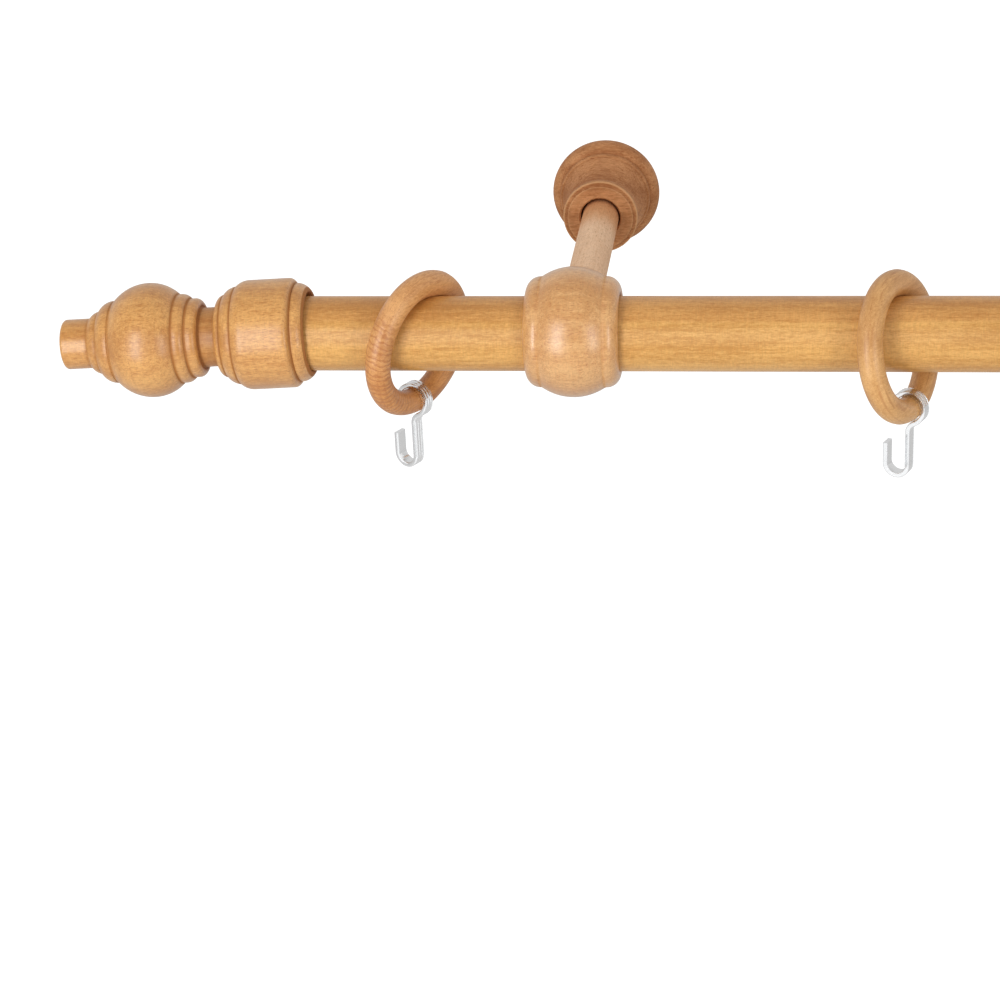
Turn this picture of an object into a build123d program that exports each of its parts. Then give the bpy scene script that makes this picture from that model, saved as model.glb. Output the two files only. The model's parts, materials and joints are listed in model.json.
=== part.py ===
from build123d import *

import math
import os

# A wooden curtain rod on two turned brackets, with end finials, rings and ring hooks. Millimetres.
# X runs along the rod, +Y points to the wall and +Z points up. The origin lies on the wall, midway
# between the two wall roses and on the height of their axes.

# Rod
rod_d = 28.0
rod_length = 1200.0
rod_end_chamfer = 1.5
rod_in_finial = 24.5  # how far the rod reaches into a finial

# Gaps
seat_gap = 0.05  # between a piece and what it rests on
finial_gap = 0.1  # between the drooping finial and the rod, where they bear on each other
glue_gap = 0.05  # round a glued dowel
screw_gap = 0.1  # round a screw's shank and head
ring_gap = 0.2  # between a ring and the rod that it hangs on
hook_gap = 0.45  # between a hook's loop and the ring's tube
arm_end_gap = 0.3  # arm's front end to the rod's bore, and its back end to the rose's floor

# Rod holder, with the wood round its bore from an end to the middle of the bulge
reach = 161.0  # wall to the axis of the holder
bracket_from_finial = 98.8  # finial mouth to the middle of the holder
holder_play = 1.5  # bore over the rod
holder_length = 35.0
holder_bore_chamfer = 0.5
holder_end_wall = 1.35
holder_bead_wall = 5.9
holder_bead_length = 5.3
holder_line_wall = 5.75  # in the turned line between bead and bulge
holder_line_width = 0.5
holder_foot_wall = 5.95  # at the foot of the bulge
holder_wall = 9.55

# Bracket arm
arm_d = 15.0
arm_chamfer = 0.8

# Wall rose, with the wood round its hole from the wall to its front
rose_play = 1.2  # hole over the arm
rose_hole_chamfer = 0.8
rose_floor = 12.0  # wood left between the arm's hole and the wall
rose_back_wall = 13.4
rose_rim_wall = 14.4
rose_rim_rise = 4.3
rose_rim_fall = 5.3
rose_rim_front_wall = 11.1
rose_line_wall = 10.7
rose_line_width = 0.5
rose_step_wall = 10.85
rose_step_front_wall = 10.3
rose_step_length = 1.9
rose_cone_back_wall = 9.9
rose_cone_length = 18.2
rose_cone_hollow = 1.0  # how far the cone bows in
rose_waist_wall = 5.1
rose_collar_back_wall = 5.4
rose_collar_wall = 7.3
rose_collar_rise = 3.6
rose_collar_length = 1.4
rose_collar_fall = 0.8
rose_collar_front_wall = 6.5
rose_lip_wall = 5.8
rose_lip_length = 0.8
rose_lip_front_wall = 5.3

# Screws
wall_screw_d = 5.0  # over the thread, which is all in the wall
wall_shank_d = 3.7  # plain shank inside the rose
wall_screw_head_d = 9.6
wall_screw_in_wall = 42.0
wall_screw_tip = 6.0
lock_screw_d = 3.0
lock_screw_head_d = 5.8
lock_screw_tip = 1.4
lock_screw_sink = 0.5  # head below the turned surface
lock_screw_bite = 2.0  # tip inside the rod or the arm
lock_screw_from_collar = 1.6  # behind the collar of the rose, at its waist
screw_point_d = 0.8
drive_slot_width = 0.8
drive_slot_depth = 0.8
drive_slot_margin = 1.3  # head left beyond each end of the drive cross

# Finial, from its mouth to its tip, with the wood round its socket as far as the socket goes
socket_play = 1.6  # socket over the rod
socket_spare = 2.5  # behind the rod's end
socket_chamfer = 0.5
finial_rim_wall = 0.9
finial_collar_wall = 3.75
finial_collar_length = 4.6
finial_line_wall = 3.2  # in the turned line between collar and cap
finial_line_width = 0.8
finial_cap_edge_wall = 4.2
finial_cap_edge_length = 2.1
finial_cap_wall = 5.8
finial_cap_fall = 4.6
finial_cap_end_wall = 3.95
finial_cap_past_socket = 0.45
finial_step_wall = 3.7
finial_step_length = 4.85
finial_step_end_d = 31.8
finial_bead_d = 31.4
finial_bead_length = 2.2
finial_neck_d = 22.6
finial_neck_length = 7.2
finial_neck_hollow = 0.1
finial_fillet_foot_d = 23.4
finial_fillet_rise = 2.2
finial_fillet_d = 29.8
finial_fillet_length = 2.1
finial_ring_foot_d = 30.2
finial_ring_rise = 3.0
finial_ring_d = 33.6
finial_ring_length = 1.6
finial_ball_foot_d = 34.0
finial_ball_rise = 11.15
finial_ball_d = 43.3
finial_ball_fall = 13.35
finial_ball_end_d = 30.9
finial_shoulder_line_d = 30.5
finial_shoulder_line_width = 0.5
finial_shoulder_d = 31.2
finial_shoulder_length = 5.4
finial_shoulder_end_d = 24.9
finial_cone_d = 23.9
finial_cone_length = 4.0
finial_cone_end_d = 19.5
finial_tip_d = 18.9
finial_tip_length = 9.5
finial_tip_round = 1.2

# Rings, from left to right: turn about the vertical and lean off plumb of each, in degrees
ring_tube_d = 9.4
ring_play = 10.0  # inside over the rod
ring_end_place = 0.488  # how far along from the finial to the holder the end rings hang
ring_poses = [(-30.3, -7.3), (-24.9, 11.6), (-23, -4), (-27, 6), (-22, 3), (-28, -5), (-25, 8)]
rest_samples = 360  # points of a ring that may bear on the rod
settle_step = 0.02
settle_tries = 60  # to each side

# Ring hooks
hook_width = 5.0
hook_thick = 1.8
hook_loop_start = 200.0  # degrees round the tube, from level
hook_loop_sweep = 265.0
hook_neck_radius = 4.0
hook_shank = 14.0
hook_bend_radius = 4.4
hook_end_length = 8.0

# Sizes and places that follow
holder_bore_d = rod_d + holder_play
holder_d = holder_bore_d + 2 * holder_wall
rose_hole_d = arm_d + rose_play
socket_d = rod_d + socket_play
socket_depth = rod_in_finial + socket_spare
ring_d = rod_d + ring_play + ring_tube_d
finial_mouth_x = rod_length / 2 - rod_in_finial
bracket_x = finial_mouth_x - bracket_from_finial
finial_collar_end = finial_collar_length + finial_line_width + finial_cap_edge_length
finial_cap_length = socket_depth + finial_cap_past_socket - finial_collar_end - finial_cap_fall
arm_z = seat_gap - rose_play / 2
rod_z = arm_z + seat_gap - holder_play / 2
ring_end_x = finial_mouth_x - ring_end_place * (bracket_from_finial - holder_length / 2)
ring_pitch = 2 * ring_end_x / (len(ring_poses) - 1)
rose_waist_from_wall = rose_rim_rise + rose_rim_fall + rose_line_width + rose_step_length + rose_cone_length
rose_collar_end = rose_waist_from_wall + rose_collar_rise + rose_collar_length + rose_collar_fall
rose_depth = rose_collar_end + rose_lip_length
arm_screw_from_wall = rose_waist_from_wall - lock_screw_from_collar - lock_screw_head_d / 2
arm_screw_seat = rose_hole_d / 2 + rose_waist_wall - lock_screw_sink
rod_screw_seat = holder_d / 2 - lock_screw_sink

# Turned pieces are made along +X and then turned to their own direction
to_room = Rot(Z=-90)
to_wall = Rot(Z=90)
upwards = Rot(Y=-90)
spare = 1.0  # how far a cutting tool runs past a face


def around(bore_d, *walls):
    """Outside diameters of these walls round a bore."""
    return [bore_d + 2 * wall for wall in walls]


def straight(length, start_d, end_d):
    """Stretch of a turned outline with a straight side."""
    return length, start_d, end_d, 0.0


def rounded(length, start_d, end_d):
    """Stretch whose side is an arc, level with the axis at its thicker end."""
    rise = abs(end_d - start_d) / 2
    bow = math.hypot(length, rise) / 2 * math.tan(math.atan2(rise, length) / 2)
    return length, start_d, end_d, bow


def hollow(length, start_d, end_d, depth):
    """Stretch whose side is an arc that bows in by the depth."""
    return length, start_d, end_d, -depth


def backwards(stretches):
    """The same stretches in the opposite order, for the second half of a symmetric piece."""
    return [(length, end_d, start_d, bow) for length, start_d, end_d, bow in reversed(stretches)]


def turned(stretches):
    """Solid turned about the X axis, starting at X = 0."""
    here = Vector(0, 0)
    edges = []
    for length, start_d, end_d, bow in stretches:
        start = Vector(here.X, start_d / 2)
        end = Vector(here.X + length, end_d / 2)
        if (start - here).length > 0:
            edges.append(Line(here, start))
        outward = (end - start).normalized().rotate(Axis.Z, 90)
        middle = (start + end) / 2 + outward * bow
        edges.append(ThreePointArc(start, middle, end) if bow else Line(start, end))
        here = end
    foot = Vector(here.X, 0)
    edges += [Line(here, foot), Line(foot, Vector(0, 0))]
    return revolve(make_face(edges), Axis.X)


def drilled(diameter, depth, chamfer):
    """Tool for a round hole from X = 0, with a chamfered mouth."""
    mouth_d = diameter + 2 * chamfer
    tool = [
        straight(spare, mouth_d, mouth_d),
        straight(chamfer, mouth_d, diameter),
        straight(depth - chamfer, diameter, diameter),
    ]
    return Pos(X=-spare) * turned(tool)


def screw(head_d, shank):
    """Countersunk screw with its head at X = 0, a cross drive in it and the stretches of its shank behind."""
    neck_d = shank[0][1]
    body = turned([straight((head_d - neck_d) / 2, head_d, neck_d)] + shank)
    slot = Box(2 * drive_slot_depth, head_d - 2 * drive_slot_margin, drive_slot_width)
    return body - slot - Rot(X=90) * slot


def screw_hole(shank_d, head_d, depth):
    """Tool for a countersunk hole whose screw head lies at X = 0, open in front of it."""
    wide_d = head_d + 2 * screw_gap
    narrow_d = shank_d + 2 * screw_gap
    front = head_d / 2
    tool = [
        straight(front, wide_d, wide_d),
        straight((wide_d - narrow_d) / 2, wide_d, narrow_d),
        straight(depth - (wide_d - narrow_d) / 2, narrow_d, narrow_d),
    ]
    return Pos(X=-front) * turned(tool)


def pilot_hole():
    """Tool for the shallow upright hole that the tip of a locking screw sits in."""
    return Cylinder(lock_screw_d / 2 + screw_gap, 2 * (lock_screw_bite + screw_gap))


def make_finial():
    """Finial with its mouth at X = 0 and its tip along +X."""
    body = turned([
        rounded(finial_collar_length, *around(socket_d, finial_rim_wall, finial_collar_wall)),
        straight(finial_line_width, *around(socket_d, finial_line_wall, finial_cap_edge_wall)),
        rounded(finial_cap_edge_length, *around(socket_d, finial_cap_edge_wall, finial_cap_wall)),
        straight(finial_cap_length, *around(socket_d, finial_cap_wall, finial_cap_wall)),
        rounded(finial_cap_fall, *around(socket_d, finial_cap_wall, finial_cap_end_wall)),
        rounded(finial_step_length, *around(socket_d, finial_step_wall), finial_step_end_d),
        rounded(finial_bead_length, finial_bead_d, finial_neck_d),
        hollow(finial_neck_length, finial_neck_d, finial_neck_d, finial_neck_hollow),
        rounded(finial_fillet_rise, finial_fillet_foot_d, finial_fillet_d),
        straight(finial_fillet_length, finial_fillet_d, finial_fillet_d),
        rounded(finial_ring_rise, finial_ring_foot_d, finial_ring_d),
        straight(finial_ring_length, finial_ring_d, finial_ring_d),
        rounded(finial_ball_rise, finial_ball_foot_d, finial_ball_d),
        rounded(finial_ball_fall, finial_ball_d, finial_ball_end_d),
        straight(finial_shoulder_line_width, finial_shoulder_line_d, finial_shoulder_line_d),
        rounded(finial_shoulder_length, finial_shoulder_d, finial_shoulder_end_d),
        rounded(finial_cone_length, finial_cone_d, finial_cone_end_d),
        straight(finial_tip_length, finial_tip_d, finial_tip_d),
        rounded(finial_tip_round, finial_tip_d, finial_tip_d - 2 * finial_tip_round),
    ])
    return body - drilled(socket_d, socket_depth, socket_chamfer)


def place_finial(finial, side):
    """Sits a finial on a rod end, drooping until it bears under the rod at its mouth and over it inside."""
    lift = socket_play / 2 - finial_gap
    droop = math.degrees(math.atan2(2 * lift, rod_in_finial))
    facing = Rot(Z=0 if side > 0 else 180)
    return Pos(side * finial_mouth_x, -reach, rod_z + lift) * facing * Rot(Y=droop) * finial


def make_rod():
    """Plain rod with a shallow hole under each holder for the screw that locks it."""
    end_d = rod_d - 2 * rod_end_chamfer
    body = Pos(X=-rod_length / 2) * turned([
        straight(rod_end_chamfer, end_d, rod_d),
        straight(rod_length - 2 * rod_end_chamfer, rod_d, rod_d),
        straight(rod_end_chamfer, rod_d, end_d),
    ])
    for side in (-1, 1):
        body -= Pos(side * bracket_x, 0, -rod_d / 2) * pilot_hole()
    return Pos(0, -reach, rod_z) * body


def make_holder():
    """Turned barrel about X at the origin: bore for the rod, hole for the arm behind, screw hole below."""
    half_bulge = holder_length / 2 - holder_bead_length - holder_line_width
    half = [
        rounded(holder_bead_length, *around(holder_bore_d, holder_end_wall, holder_bead_wall)),
        straight(holder_line_width, *around(holder_bore_d, holder_line_wall, holder_foot_wall)),
        rounded(half_bulge, *around(holder_bore_d, holder_foot_wall, holder_wall)),
    ]
    body = Pos(X=-holder_length / 2) * turned(half + backwards(half))
    bore = drilled(holder_bore_d, holder_length / 2 + spare, holder_bore_chamfer)
    body -= Pos(X=-holder_length / 2) * bore
    body -= Pos(X=holder_length / 2) * Rot(Z=180) * bore
    arm_hole_d = arm_d + 2 * glue_gap
    body -= to_wall * turned([straight(holder_d, arm_hole_d, arm_hole_d)])
    lock_hole = screw_hole(lock_screw_d, lock_screw_head_d, rod_screw_seat)
    return body - Pos(Z=-rod_screw_seat) * upwards * lock_hole


def make_rose():
    """Turned base from the wall at Y = 0 into the room, with the arm's hole and both screw holes."""
    body = turned([
        rounded(rose_rim_rise, *around(rose_hole_d, rose_back_wall, rose_rim_wall)),
        rounded(rose_rim_fall, *around(rose_hole_d, rose_rim_wall, rose_rim_front_wall)),
        straight(rose_line_width, *around(rose_hole_d, rose_line_wall, rose_step_wall)),
        rounded(rose_step_length, *around(rose_hole_d, rose_step_wall, rose_step_front_wall)),
        hollow(rose_cone_length, *around(rose_hole_d, rose_cone_back_wall, rose_waist_wall), rose_cone_hollow),
        rounded(rose_collar_rise, *around(rose_hole_d, rose_collar_back_wall, rose_collar_wall)),
        straight(rose_collar_length, *around(rose_hole_d, rose_collar_wall, rose_collar_wall)),
        rounded(rose_collar_fall, *around(rose_hole_d, rose_collar_wall, rose_collar_front_wall)),
        straight(rose_lip_length, *around(rose_hole_d, rose_lip_wall, rose_lip_front_wall)),
    ])
    arm_hole = drilled(rose_hole_d, rose_depth - rose_floor, rose_hole_chamfer)
    wall_hole = screw_hole(wall_screw_d, wall_screw_head_d, rose_floor + spare)
    lock_hole = screw_hole(lock_screw_d, lock_screw_head_d, arm_screw_seat)
    body -= Pos(X=rose_depth) * Rot(Z=180) * arm_hole
    body -= Pos(X=rose_floor) * Rot(Z=180) * wall_hole
    body -= Pos(X=arm_screw_from_wall, Z=-arm_screw_seat) * upwards * lock_hole
    return to_room * body


def make_arm():
    """Dowel from the holder's bore to the floor of the rose's hole, with a shallow hole for its screw."""
    front = -reach + holder_bore_d / 2 + arm_end_gap
    length = -rose_floor - arm_end_gap - front
    end_d = arm_d - 2 * arm_chamfer
    body = to_wall * turned([
        straight(arm_chamfer, end_d, arm_d),
        straight(length - 2 * arm_chamfer, arm_d, arm_d),
        straight(arm_chamfer, arm_d, end_d),
    ])
    return Pos(0, front, 0) * body - Pos(0, -arm_screw_from_wall, -arm_d / 2) * pilot_hole()


def lock_screw(length):
    """Short screw that locks the arm or the rod from below, threaded up to its head."""
    plain = length - (lock_screw_head_d - lock_screw_d) / 2 - lock_screw_tip
    return screw(lock_screw_head_d, [
        straight(plain, lock_screw_d, lock_screw_d),
        straight(lock_screw_tip, lock_screw_d, screw_point_d),
    ])


def make_screws():
    """Wall screw, arm screw and rod screw of one bracket, where they sit relative to the rose's axis."""
    arm_under = rose_hole_d / 2 - seat_gap
    rod_under = holder_bore_d / 2 - seat_gap
    wall_head = (wall_screw_head_d - wall_shank_d) / 2
    wall_screw = screw(wall_screw_head_d, [
        straight(rose_floor - wall_head, wall_shank_d, wall_shank_d),
        straight(wall_screw_in_wall - wall_screw_tip, wall_screw_d, wall_screw_d),
        straight(wall_screw_tip, wall_screw_d, screw_point_d),
    ])
    arm_screw = lock_screw(arm_screw_seat - arm_under + lock_screw_bite)
    rod_screw = lock_screw(rod_screw_seat - rod_under + lock_screw_bite)
    return {
        "wall_screw": Pos(Y=-rose_floor) * to_wall * wall_screw,
        "arm_screw": Pos(0, -arm_screw_from_wall, -arm_screw_seat) * upwards * arm_screw,
        "rod_screw": Pos(0, -reach, arm_z - rod_screw_seat) * upwards * rod_screw,
    }


def ring_directions(turn, lean):
    """Unit vectors of a hanging ring: level in its plane, up its plane, square to it, level across it."""
    turn, lean = math.radians(turn), math.radians(lean)
    across = Vector(math.cos(turn), math.sin(turn), 0)
    level = Vector(-math.sin(turn), math.cos(turn), 0)
    up = across * -math.sin(lean) + Vector(0, 0, math.cos(lean))
    square = across * math.cos(lean) + Vector(0, 0, math.sin(lean))
    return level, up, square, across


def ring_centre(x, turn, lean):
    """Where the centre of a ring settles, as low as it goes, when the ring hangs over the rod by its inside."""
    level, up, _, _ = ring_directions(turn, lean)
    bearing = (rod_d + ring_tube_d) / 2 + ring_gap
    upper_half = []
    for step in range(rest_samples):
        angle = math.pi * (step / rest_samples - 0.5)
        upper_half.append((up * math.cos(angle) + level * math.sin(angle)) * (ring_d / 2))

    def height(shift):
        over_rod = [point for point in upper_half if abs(point.Y + shift) < bearing]
        return max(math.sqrt(bearing ** 2 - (point.Y + shift) ** 2) - point.Z for point in over_rod)

    top_over_axis = -up.Y * ring_d / 2
    shifts = [top_over_axis + settle_step * n for n in range(-settle_tries, settle_tries + 1)]
    lowest = min(shifts, key=height)
    return Vector(x, -reach + lowest, rod_z + height(lowest))


def make_hook():
    """Moulded strap in the XY plane: open loop round the tube at the origin, neck, shank and upturned end."""
    loop_radius = ring_tube_d / 2 + hook_gap + hook_thick / 2
    loop = CenterArc((0, 0), loop_radius, hook_loop_start, -hook_loop_sweep)
    neck = JernArc(loop @ 1, loop % 1, hook_neck_radius, hook_loop_sweep - hook_loop_start)
    shank = Line(neck @ 1, neck @ 1 - Vector(0, hook_shank))
    bend = JernArc(shank @ 1, shank % 1, hook_bend_radius, -180)
    end = Line(bend @ 1, bend @ 1 + Vector(0, hook_end_length))
    path = Wire([loop, neck, shank, bend, end])
    section = Plane(path @ 0, x_dir=(0, 0, 1), z_dir=path % 0) * Rectangle(hook_width, hook_thick)
    return sweep(section, path=path)


pieces = {"rod": make_rod()}
finial, holder, rose, arm = make_finial(), make_holder(), make_rose(), make_arm()
screws = make_screws()
for name, side in (("left", -1), ("right", 1)):
    at_bracket = Pos(X=side * bracket_x)
    pieces[f"finial_{name}"] = place_finial(finial, side)
    pieces[f"rod_holder_{name}"] = at_bracket * Pos(0, -reach, arm_z) * holder
    pieces[f"bracket_arm_{name}"] = at_bracket * Pos(0, 0, arm_z) * arm
    pieces[f"wall_rose_{name}"] = at_bracket * rose
    for kind, solid in screws.items():
        pieces[f"{kind}_{name}"] = at_bracket * solid

hook = make_hook()
for number, (turn, lean) in enumerate(ring_poses, start=1):
    level, up, square, across = ring_directions(turn, lean)
    centre = ring_centre(-ring_end_x + (number - 1) * ring_pitch, turn, lean)
    pieces[f"ring_{number}"] = Plane(centre, z_dir=square) * Torus(ring_d / 2, ring_tube_d / 2)
    lowest = centre - up * (ring_d / 2)
    pieces[f"ring_hook_{number}"] = Plane(lowest, x_dir=across, z_dir=-level) * hook

os.makedirs("parts", exist_ok=True)
for name, solid in pieces.items():
    export_step(solid, f"parts/{name}.step")
print(len(pieces), "pieces, ring pitch", round(ring_pitch, 2), "rose depth", round(rose_depth, 2))
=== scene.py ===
import json
import math

import bpy
import numpy as np
from mathutils import Euler, Matrix, Vector


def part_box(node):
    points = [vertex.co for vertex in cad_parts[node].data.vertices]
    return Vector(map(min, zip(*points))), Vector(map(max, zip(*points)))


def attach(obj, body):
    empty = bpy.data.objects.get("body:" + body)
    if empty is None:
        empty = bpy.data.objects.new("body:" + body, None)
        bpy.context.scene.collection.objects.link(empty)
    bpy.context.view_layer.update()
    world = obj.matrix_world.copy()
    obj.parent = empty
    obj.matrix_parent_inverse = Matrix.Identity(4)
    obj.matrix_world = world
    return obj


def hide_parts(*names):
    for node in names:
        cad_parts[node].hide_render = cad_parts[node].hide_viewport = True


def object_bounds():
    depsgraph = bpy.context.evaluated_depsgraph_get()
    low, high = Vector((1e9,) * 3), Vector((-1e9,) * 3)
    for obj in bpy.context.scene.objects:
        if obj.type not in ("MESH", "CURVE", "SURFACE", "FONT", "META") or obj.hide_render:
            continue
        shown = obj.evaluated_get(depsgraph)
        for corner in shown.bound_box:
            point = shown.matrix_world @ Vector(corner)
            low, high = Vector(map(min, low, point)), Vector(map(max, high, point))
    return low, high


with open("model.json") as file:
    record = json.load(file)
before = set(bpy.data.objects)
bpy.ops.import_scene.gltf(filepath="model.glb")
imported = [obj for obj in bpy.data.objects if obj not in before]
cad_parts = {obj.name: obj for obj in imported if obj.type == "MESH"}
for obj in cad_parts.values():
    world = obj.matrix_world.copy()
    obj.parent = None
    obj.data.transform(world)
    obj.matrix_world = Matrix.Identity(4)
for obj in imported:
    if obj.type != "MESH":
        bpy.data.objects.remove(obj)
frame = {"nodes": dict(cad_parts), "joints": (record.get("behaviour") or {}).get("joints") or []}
cadLow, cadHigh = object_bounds()
scene = bpy.context.scene
scene.view_settings.view_transform = "Standard"
mm = 0.001
sides = {"left": -1, "right": 1}
print("frame loaded:", len(frame["nodes"]), "nodes")


# small helpers for node trees

def addNode(tree, kind, **settings):
    node = tree.nodes.new(kind)
    for key, value in settings.items():
        setattr(node, key, value)
    return node


def feed(tree, value, socket):
    if isinstance(value, bpy.types.NodeSocket):
        tree.links.new(value, socket)
    else:
        socket.default_value = value


def sums(tree, operation, a, b=0.0, clamp=False):
    node = addNode(tree, "ShaderNodeMath", operation=operation, use_clamp=clamp)
    feed(tree, a, node.inputs[0])
    feed(tree, b, node.inputs[1])
    return node.outputs[0]


def times(tree, a, b):
    return sums(tree, "MULTIPLY", a, b)


def blendColor(tree, amount, a, b, mode="MIX"):
    node = addNode(tree, "ShaderNodeMix", data_type="RGBA", blend_type=mode)
    feed(tree, amount, node.inputs["Factor"])
    feed(tree, a, node.inputs[6])
    feed(tree, b, node.inputs[7])
    return node.outputs[2]


def blendValue(tree, amount, a, b):
    node = addNode(tree, "ShaderNodeMix", data_type="FLOAT")
    feed(tree, amount, node.inputs[0])
    feed(tree, a, node.inputs[2])
    feed(tree, b, node.inputs[3])
    return node.outputs[0]


def ramp(tree, value, low, high, toLow=0.0, toHigh=1.0):
    node = addNode(tree, "ShaderNodeMapRange", interpolation_type="SMOOTHSTEP")
    feed(tree, value, node.inputs["Value"])
    node.inputs["From Min"].default_value = low
    node.inputs["From Max"].default_value = high
    node.inputs["To Min"].default_value = toLow
    node.inputs["To Max"].default_value = toHigh
    return node.outputs["Result"]


def scaled(tree, vector, factors, plus=None):
    node = addNode(tree, "ShaderNodeVectorMath", operation="MULTIPLY" if plus is None else "MULTIPLY_ADD")
    feed(tree, vector, node.inputs[0])
    node.inputs[1].default_value = factors
    if plus is not None:
        feed(tree, plus, node.inputs[2])
    return node.outputs[0]


def stretched(tree, vector, along, across):
    return scaled(tree, vector, (along, across, across))


def facing(tree, vector, direction):
    node = addNode(tree, "ShaderNodeVectorMath", operation="DOT_PRODUCT")
    feed(tree, vector, node.inputs[0])
    node.inputs[1].default_value = direction
    return node.outputs["Value"]


def objectPlace(tree):
    return addNode(tree, "ShaderNodeTexCoord").outputs["Object"]


def axesOf(tree, vector):
    node = addNode(tree, "ShaderNodeSeparateXYZ")
    feed(tree, vector, node.inputs[0])
    return node.outputs


def noiseOn(tree, vector, scale, detail=2.0, roughness=0.5, distortion=0.0):
    node = addNode(tree, "ShaderNodeTexNoise")
    feed(tree, vector, node.inputs["Vector"])
    node.inputs["Scale"].default_value = scale
    node.inputs["Detail"].default_value = detail
    node.inputs["Roughness"].default_value = roughness
    node.inputs["Distortion"].default_value = distortion
    return node.outputs["Fac"]


def newGroup(name, inputs, outputs):
    group = bpy.data.node_groups.new(name, "ShaderNodeTree")
    for label, kind, value in inputs:
        socket = group.interface.new_socket(label, in_out="INPUT", socket_type="NodeSocket" + kind)
        socket.default_value = value
    for label, kind in outputs:
        group.interface.new_socket(label, in_out="OUTPUT", socket_type="NodeSocket" + kind)
    return group, group.nodes.new("NodeGroupInput").outputs, group.nodes.new("NodeGroupOutput").inputs


def placeGroup(tree, group, **values):
    node = addNode(tree, "ShaderNodeGroup", node_tree=group)
    for label, value in values.items():
        feed(tree, value, node.inputs[label])
    return node.outputs


def newMaterial(name, **constants):
    material = bpy.data.materials.new(name)
    material.use_nodes = True
    shader = material.node_tree.nodes["Principled BSDF"]
    for label, value in constants.items():
        shader.inputs[label].default_value = value
    return material, material.node_tree, shader.inputs


def bumpFrom(tree, height, strength, distance):
    node = addNode(tree, "ShaderNodeBump")
    node.inputs["Strength"].default_value = strength
    node.inputs["Distance"].default_value = distance
    feed(tree, height, node.inputs["Height"])
    return node.outputs["Normal"]


# wood figure: the grain runs along X of the place that it is given

beechGrain = dict(
    broad=(0.012, 0.11), streak=(0.06, 0.9), mottle=(0.42, 1.7), fibre=(0.6, 3.6),  # along and across, per mm
    broadShare=0.35, streakShare=0.3, mottleShare=0.35, contrast=(0.39, 0.61),
    fibreCut=(0.48, 0.68), fibreDepth=0.7,
    sway=(0.3, 0.8), swayReach=(1.6, 0.5, 0.5), mottleRelief=0.5, fleckRelief=0.4,
    small=dict(along=0.36, across=2.3, reach=0.44, share=0.6),
    large=dict(along=0.24, across=1.05, reach=0.38, share=0.45), core=0.3, rare=0.3, seedStep=7.0)


def buildBeechFigure():
    size = beechGrain
    group, given, result = newGroup(
        "beechFigure",
        [("Place", "Vector", (0, 0, 0)), ("Sapwood", "Color", (0.7, 0.4, 0.15, 1)),
         ("Heartwood", "Color", (0.5, 0.25, 0.08, 1)), ("Fleck", "Color", (0.3, 0.12, 0.04, 1)),
         ("Fleck Amount", "Float", 0.6), ("Pore Amount", "Float", 0.5), ("Seed", "Float", 0.0)],
        [("Color", "Color"), ("Height", "Float")])
    wood = scaled(group, given["Place"], (1 / mm, 1 / mm, 1 / mm), given["Seed"])  # millimetres from here on
    drift = addNode(group, "ShaderNodeTexNoise")
    group.links.new(stretched(group, wood, *size["sway"]), drift.inputs["Vector"])
    drift.inputs["Scale"].default_value = 1.0
    swayed = scaled(group, drift.outputs["Color"], size["swayReach"], wood)  # keeps the flecks from lining up

    def flecks(along, across, reach, share):
        cells = addNode(group, "ShaderNodeTexVoronoi", feature="F1")
        group.links.new(stretched(group, swayed, along, across), cells.inputs["Vector"])
        cells.inputs["Scale"].default_value = 1.0
        pick = addNode(group, "ShaderNodeSeparateColor")
        group.links.new(cells.outputs["Color"], pick.inputs[0])
        dash = ramp(group, cells.outputs["Distance"], size["core"] * reach, reach, 1.0, 0.0)
        return times(group, dash, ramp(group, pick.outputs[0], 1 - share, 1 - share + size["rare"]))

    broad = noiseOn(group, stretched(group, wood, *size["broad"]), 1.0, 2.0, 0.5, 0.3)  # soft tone changes
    streak = noiseOn(group, stretched(group, wood, *size["streak"]), 1.0, 4.0, 0.65)  # bundles of fibres
    mottle = noiseOn(group, stretched(group, wood, *size["mottle"]), 1.0, 3.0, 0.7)  # short glints
    fibre = noiseOn(group, stretched(group, wood, *size["fibre"]), 1.0, 3.0, 0.7)  # hair-fine pores
    mixing = times(group, broad, size["broadShare"])
    mixing = sums(group, "ADD", mixing, times(group, streak, size["streakShare"]))
    mixing = sums(group, "ADD", mixing, times(group, mottle, size["mottleShare"]))
    figure = blendColor(group, ramp(group, mixing, *size["contrast"]), given["Sapwood"], given["Heartwood"])
    pores = times(group, ramp(group, fibre, *size["fibreCut"]), size["fibreDepth"])
    fine = times(group, sums(group, "MAXIMUM", flecks(**size["small"]), pores), given["Pore Amount"])
    mask = sums(group, "MAXIMUM", fine, times(group, flecks(**size["large"]), given["Fleck Amount"]))
    group.links.new(blendColor(group, mask, figure, given["Fleck"]), result["Color"])
    raised, sunk = times(group, mottle, size["mottleRelief"]), times(group, mask, size["fleckRelief"])
    group.links.new(sums(group, "SUBTRACT", raised, sunk), result["Height"])
    return group


# what the lathe leaves, with painted light: stain and painted shade in the turned lines, paler rubbed edges
# with painted highlight, and faint tool rings

sanding = dict(along=2000.0, across=380.0, contrast=(0.32, 0.68), dark=0.93, light=1.06)


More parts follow.
